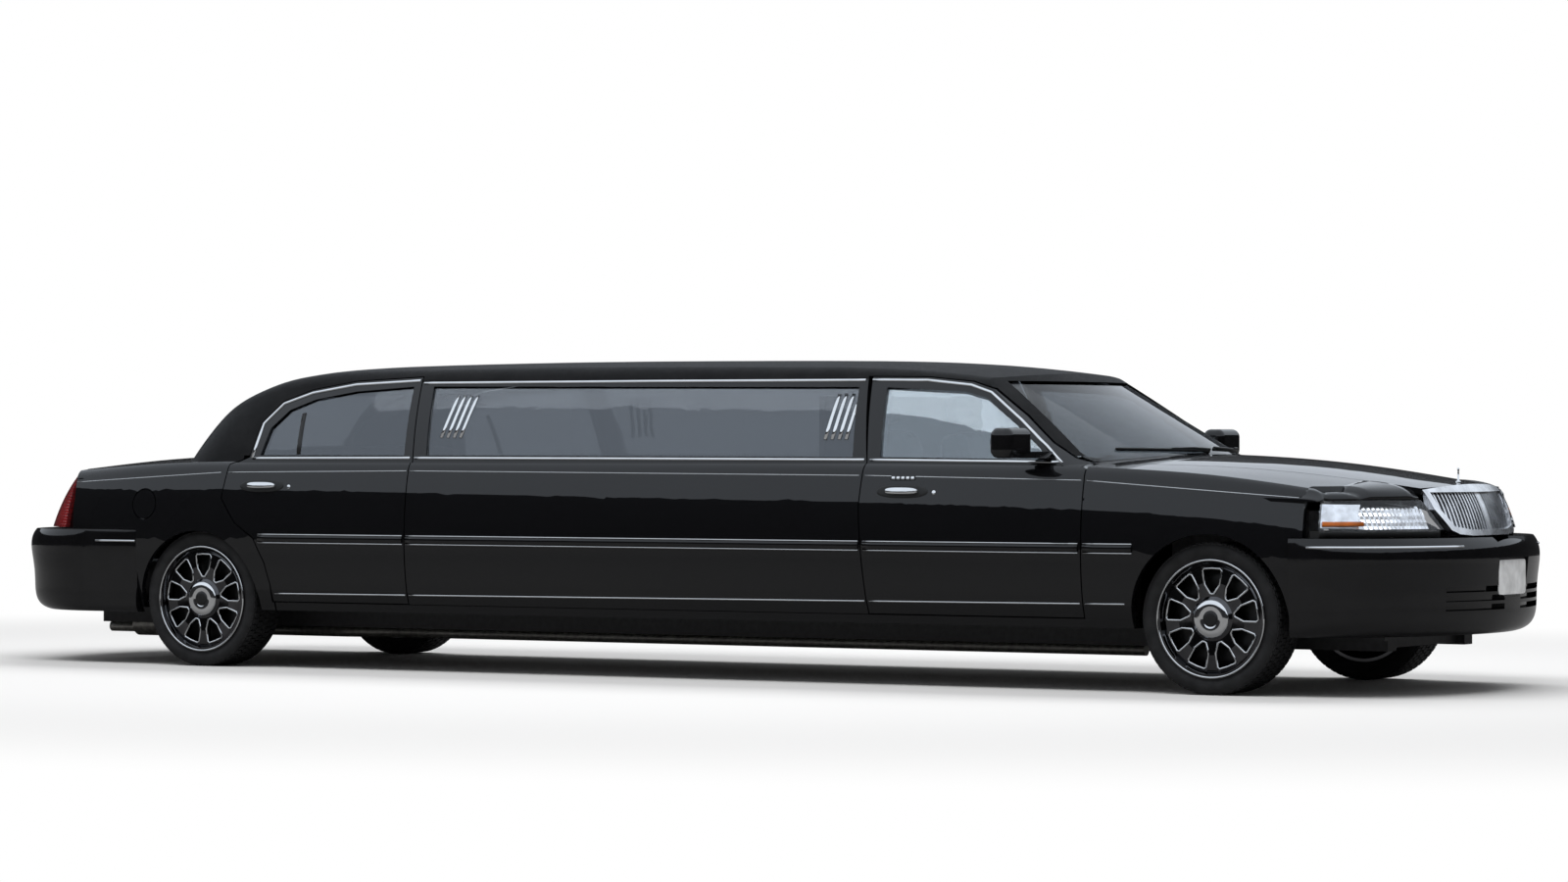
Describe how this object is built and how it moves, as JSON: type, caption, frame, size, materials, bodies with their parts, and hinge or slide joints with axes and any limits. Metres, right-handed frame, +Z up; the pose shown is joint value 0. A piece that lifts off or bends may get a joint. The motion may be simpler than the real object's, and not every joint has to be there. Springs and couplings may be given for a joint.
{
  "type": "stretch limousine",
  "caption": "Long black stretch limousine with hinged doors, hood, trunk lid and fuel flap, steered front wheels, spinning wheels and an open passenger cabin.",
  "frame": {"origin": "centre of the bounding box in plan, at ground level under the tyres", "axes": "+X towards the front bumper, +Y towards the car's left, +Z up"},
  "size_m": [8.0171, 2.382, 1.5044],
  "materials": {
    "black_paint": "gloss",
    "vinyl_roof": "grained",
    "black_plastic": "gloss",
    "glass": "gloss",
    "tinted_glass": "gloss",
    "chrome": "polished",
    "tyre": "matt",
    "frame_steel": "satin",
    "engine_iron": "satin",
    "exhaust_steel": "satin",
    "trim_dark": "matt",
    "leather": "satin",
    "wood": "satin",
    "lamp_clear": "gloss",
    "lamp_red": "gloss"
  },
  "bodies": {
    "body": {"floor_pan": "trim_dark", "gearbox_cover": "trim_dark", "rockers": "black_paint", "chassis_frame": "frame_steel", "engine": "engine_iron", "driveline": "frame_steel", "exhaust": "exhaust_steel", "fuel_tank": "trim_dark", "rear_axle": "frame_steel", "front_suspension": "frame_steel", "fenders": "black_paint", "stretch_panels": "black_paint", "quarter_panels": "black_paint", "roof": "vinyl_roof", "cowl": "black_paint", "rear_deck": "black_paint", "rear_bulkhead": "trim_dark", "trunk_floor": "trim_dark", "front_bumper": "black_plastic", "rear_bumper": "black_plastic", "windscreen": "glass", "rear_window": "tinted_glass", "stretch_glass": "tinted_glass", "headlamps": "lamp_clear", "tail_lamps": "lamp_red", "dashboard": "trim_dark", "steering_wheel": "trim_dark", "front_seats": "leather", "j_bench": "leather", "bar_cabinet": "wood", "partition": "trim_dark"},
    "hood": {"hood": "black_paint", "grille": "chrome"},
    "trunk_lid": {"trunk_lid": "black_paint"},
    "fuel_flap": {"fuel_flap": "black_paint"},
    "front_door_right": {"front_door_right": "black_paint", "front_glass_right": "glass", "mirror_right": "black_plastic"},
    "front_wheel_right": {"front_wheel_right": "chrome", "front_tyre_right": "tyre"},
    "front_door_left": {"front_door_left": "black_paint", "front_glass_left": "glass", "mirror_left": "black_plastic"},
    "front_wheel_left": {"front_wheel_left": "chrome", "front_tyre_left": "tyre"},
    "rear_door_right": {"rear_door_right": "black_paint", "rear_glass_right": "tinted_glass"},
    "rear_wheel_right": {"rear_wheel_right": "chrome", "rear_tyre_right": "tyre"},
    "rear_door_left": {"rear_door_left": "black_paint", "rear_glass_left": "tinted_glass"},
    "rear_wheel_left": {"rear_wheel_left": "chrome", "rear_tyre_left": "tyre"},
    "knuckle_right": {"knuckle_right": "frame_steel"},
    "knuckle_left": {"knuckle_left": "frame_steel"}
  },
  "joints": [
    {"name": "steer_right", "type": "hinge", "parent": "body", "child": "knuckle_right", "pos_m": [2.955, -0.79, 0.335], "axis": [0, 0, 1], "range_deg": [-32, 32]},
    {"name": "steer_left", "type": "hinge", "parent": "body", "child": "knuckle_left", "pos_m": [2.955, 0.79, 0.335], "axis": [0, 0, 1], "range_deg": [-32, 32]},
    {"name": "front_wheel_right_spin", "type": "hinge", "parent": "knuckle_right", "child": "front_wheel_right", "pos_m": [2.955, -0.81, 0.335], "axis": [0, 1, 0], "continuous": true},
    {"name": "front_wheel_left_spin", "type": "hinge", "parent": "knuckle_left", "child": "front_wheel_left", "pos_m": [2.955, 0.81, 0.335], "axis": [0, 1, 0], "continuous": true},
    {"name": "rear_wheel_right_spin", "type": "hinge", "parent": "body", "child": "rear_wheel_right", "pos_m": [-2.575, -0.82, 0.335], "axis": [0, 1, 0], "continuous": true},
    {"name": "rear_wheel_left_spin", "type": "hinge", "parent": "body", "child": "rear_wheel_left", "pos_m": [-2.575, 0.82, 0.335], "axis": [0, 1, 0], "continuous": true},
    {"name": "front_door_right_hinge", "type": "hinge", "parent": "body", "child": "front_door_right", "pos_m": [2.346, -1, 0.62], "axis": [0, 0.1045, 0.9945], "range_deg": [0, 62]},
    {"name": "front_door_left_hinge", "type": "hinge", "parent": "body", "child": "front_door_left", "pos_m": [2.346, 1, 0.62], "axis": [0, 0.1045, -0.9945], "range_deg": [0, 62]},
    {"name": "rear_door_right_hinge", "type": "hinge", "parent": "body", "child": "rear_door_right", "pos_m": [-1.312, -1, 0.62], "axis": [0, 0.1045, 0.9945], "range_deg": [0, 62]},
    {"name": "rear_door_left_hinge", "type": "hinge", "parent": "body", "child": "rear_door_left", "pos_m": [-1.312, 1, 0.62], "axis": [0, 0.1045, -0.9945], "range_deg": [0, 62]},
    {"name": "hood_hinge", "type": "hinge", "parent": "body", "child": "hood", "pos_m": [2.425, 0, 0.996], "axis": [0, -1, 0], "range_deg": [0, 48]},
    {"name": "trunk_hinge", "type": "hinge", "parent": "body", "child": "trunk_lid", "pos_m": [-3.205, 0, 1.034], "axis": [0, 1, 0], "range_deg": [0, 70]},
    {"name": "fuel_flap_hinge", "type": "hinge", "parent": "body", "child": "fuel_flap", "pos_m": [-2.839, -0.97, 0.803], "axis": [0, 0, 1], "range_deg": [0, 90]}
  ],
  "couplings": [
    {"joint": "steer_left", "follows": "steer_right", "ratio": 1}
  ]
}
